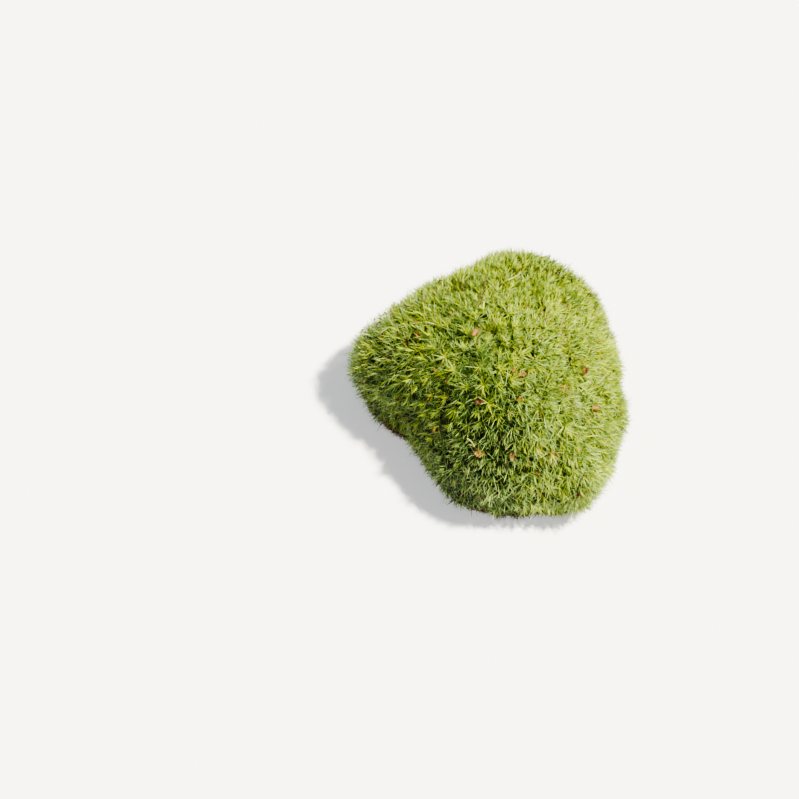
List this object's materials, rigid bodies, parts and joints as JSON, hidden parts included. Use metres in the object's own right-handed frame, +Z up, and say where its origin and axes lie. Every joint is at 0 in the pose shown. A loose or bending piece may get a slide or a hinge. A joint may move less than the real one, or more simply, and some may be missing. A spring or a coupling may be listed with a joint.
{
  "type": "moss clump",
  "caption": "Rounded cushion of pale green moss on a thin brown mat of old stems, cut flat underneath, with bud scales and dead stems lying among its leafy tips.",
  "frame": {"origin": "on the surface that the clump rests on, under the centre of the clump's box", "axes": "+Z up, away from the flat underside; +X to the right and -Y towards the viewer of the picture, with the small left lobe at -X"},
  "size_m": [0.2126, 0.214, 0.1062],
  "materials": {
    "moss": "matt",
    "mat": "matt",
    "red_brown": "matt",
    "tan": "matt",
    "straw": "matt"
  },
  "bodies": {
    "root": {"moss_cushion": "moss", "root_mat": "mat", "bud_scale_1": "red_brown", "bud_scale_2": "tan", "bud_scale_3": "tan", "bud_scale_4": "red_brown", "bud_scale_5": "red_brown", "bud_scale_6": "tan", "bud_scale_7": "red_brown", "bud_scale_8": "tan", "bud_scale_9": "tan", "bud_scale_10": "tan", "bud_scale_11": "red_brown", "bud_scale_12": "red_brown", "bud_scale_13": "red_brown", "dead_stem_1": "red_brown", "dead_stem_2": "straw", "dead_stem_3": "straw", "dead_stem_4": "straw"}
  },
  "joints": []
}
